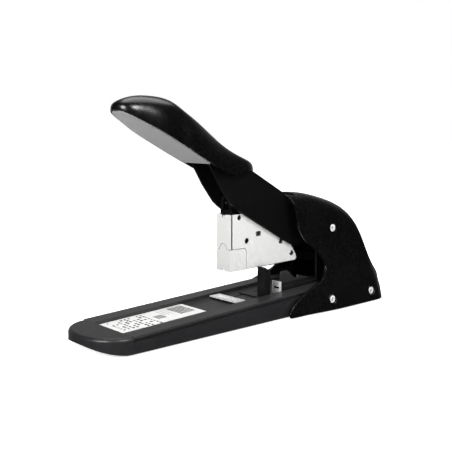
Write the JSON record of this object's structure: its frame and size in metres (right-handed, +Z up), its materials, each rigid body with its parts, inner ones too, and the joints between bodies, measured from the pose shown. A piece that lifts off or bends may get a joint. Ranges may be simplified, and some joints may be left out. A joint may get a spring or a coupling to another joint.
{
  "type": "heavy-duty stapler",
  "caption": "Heavy-duty desktop stapler: wedge base with anvil, glossy housing, raised lever handle, sheet-steel staple head on a parallel linkage, sliding loading drawer and depth stop.",
  "frame": {"origin": "bottom centre of the bounding box with the handle raised: the surface the stapler stands on", "axes": "+Z up, +Y from the nose towards the housing's heel, +X to the side the depth stop is on"},
  "size_m": [0.0788, 0.284, 0.1643],
  "materials": {
    "dark_grey_plastic": "satin",
    "grey_sheet": "satin",
    "zinc_sheet": "satin",
    "zinc_steel": "satin",
    "rubber": "matte",
    "label": "satin",
    "black_plastic": "satin",
    "bright_steel": "polished",
    "head_steel": "satin",
    "dark_steel": "satin",
    "spring_steel": "polished",
    "black_gloss": "gloss",
    "grey_plastic": "satin",
    "black_paint": "gloss"
  },
  "bodies": {
    "base": {"base_tray": "dark_grey_plastic", "deck_plate": "grey_sheet", "nose_cap": "dark_grey_plastic", "bottom_plate": "zinc_sheet", "bottom_screws": "zinc_steel", "rubber_feet": "rubber", "label_plate": "label", "anvil_block": "black_plastic", "anvil_plate": "bright_steel", "guide_block": "black_plastic", "guide_plate": "bright_steel", "throat_bracket": "grey_sheet", "frame_cheek_right": "dark_steel", "frame_cheek_left": "dark_steel", "frame_pin_upper": "zinc_steel", "frame_pin_lower": "dark_steel", "pivot_bush": "zinc_steel", "pivot_washers": "zinc_steel", "pivot_rivet": "bright_steel", "foot_rivets": "bright_steel", "housing_right": "black_gloss", "housing_left": "black_gloss", "spine_strip": "dark_grey_plastic", "button_spring": "spring_steel", "button_seat": "zinc_steel", "handle_spring": "spring_steel"},
    "handle": {"handle_arm": "black_paint", "handle_screws": "zinc_steel", "arm_tongue": "black_paint", "arm_crossbar": "zinc_steel", "handle_shell": "black_gloss", "grip_insert": "grey_plastic"},
    "upper_link": {"upper_link": "dark_steel"},
    "lower_link": {"lower_link": "dark_steel"},
    "head": {"head_side_right": "head_steel", "head_side_left": "head_steel", "head_front": "head_steel", "blade_guide": "dark_steel", "head_crossbar": "zinc_steel", "head_pin_upper": "zinc_steel", "head_pin_lower": "zinc_steel", "rod_anchor": "zinc_steel", "pusher_rod": "zinc_steel", "pusher_spring": "spring_steel"},
    "driver": {"driver_blade": "bright_steel", "driver_link": "dark_steel"},
    "drawer": {"drawer_foot": "head_steel", "drawer_channel": "zinc_steel"},
    "pusher": {"staple_pusher": "black_plastic"},
    "depth_stop": {"depth_stop": "black_plastic"},
    "release_button": {"release_button": "grey_plastic"}
  },
  "joints": [
    {"name": "handle_press", "type": "hinge", "parent": "base", "child": "handle", "pos_m": [0, 0.0837, 0.0628], "axis": [1, 0, 0], "range_deg": [0, 23], "stiffness_Nm_per_rad": 1.6, "springref_deg": -42.97},
    {"name": "upper_link_turn", "type": "hinge", "parent": "base", "child": "upper_link", "pos_m": [0, 0.08152, 0.04495], "axis": [1, 0, 0], "range_deg": [0, 26.1]},
    {"name": "lower_link_turn", "type": "hinge", "parent": "base", "child": "lower_link", "pos_m": [0, 0.09402, 0.03415], "axis": [1, 0, 0], "range_deg": [0, 26.1]},
    {"name": "head_level", "type": "hinge", "parent": "lower_link", "child": "head", "pos_m": [0, 0.0492, 0.0445], "axis": [1, 0, 0], "range_deg": [-26.1, 0]},
    {"name": "driver_stroke", "type": "slide", "parent": "head", "child": "driver", "axis": [0, 0, -1], "range_m": [0, 0.01683]},
    {"name": "drawer_slide", "type": "slide", "parent": "head", "child": "drawer", "axis": [0, -1, 0], "range_m": [0, 0.052]},
    {"name": "pusher_slide", "type": "slide", "parent": "head", "child": "pusher", "axis": [0, 1, 0], "range_m": [0, 0.034], "stiffness_N_per_m": 25, "springref_m": -0.012, "deforming": ["pusher_spring"]},
    {"name": "stop_slide", "type": "slide", "parent": "base", "child": "depth_stop", "axis": [0, 0.9992, 0.0402], "range_m": [-0.015, 0.008]},
    {"name": "button_press", "type": "slide", "parent": "base", "child": "release_button", "axis": [0, -0.6691, -0.7431], "range_m": [0, 0.003], "stiffness_N_per_m": 400, "springref_m": -0.002, "deforming": ["button_spring"]}
  ],
  "couplings": [
    {"joint": "upper_link_turn", "follows": "handle_press", "ratio": 1.1304},
    {"joint": "lower_link_turn", "follows": "handle_press", "ratio": 1.1304},
    {"joint": "head_level", "follows": "handle_press", "ratio": -1.1304},
    {"joint": "driver_stroke", "follows": "handle_press", "m_per_rad": 0.041676}
  ]
}
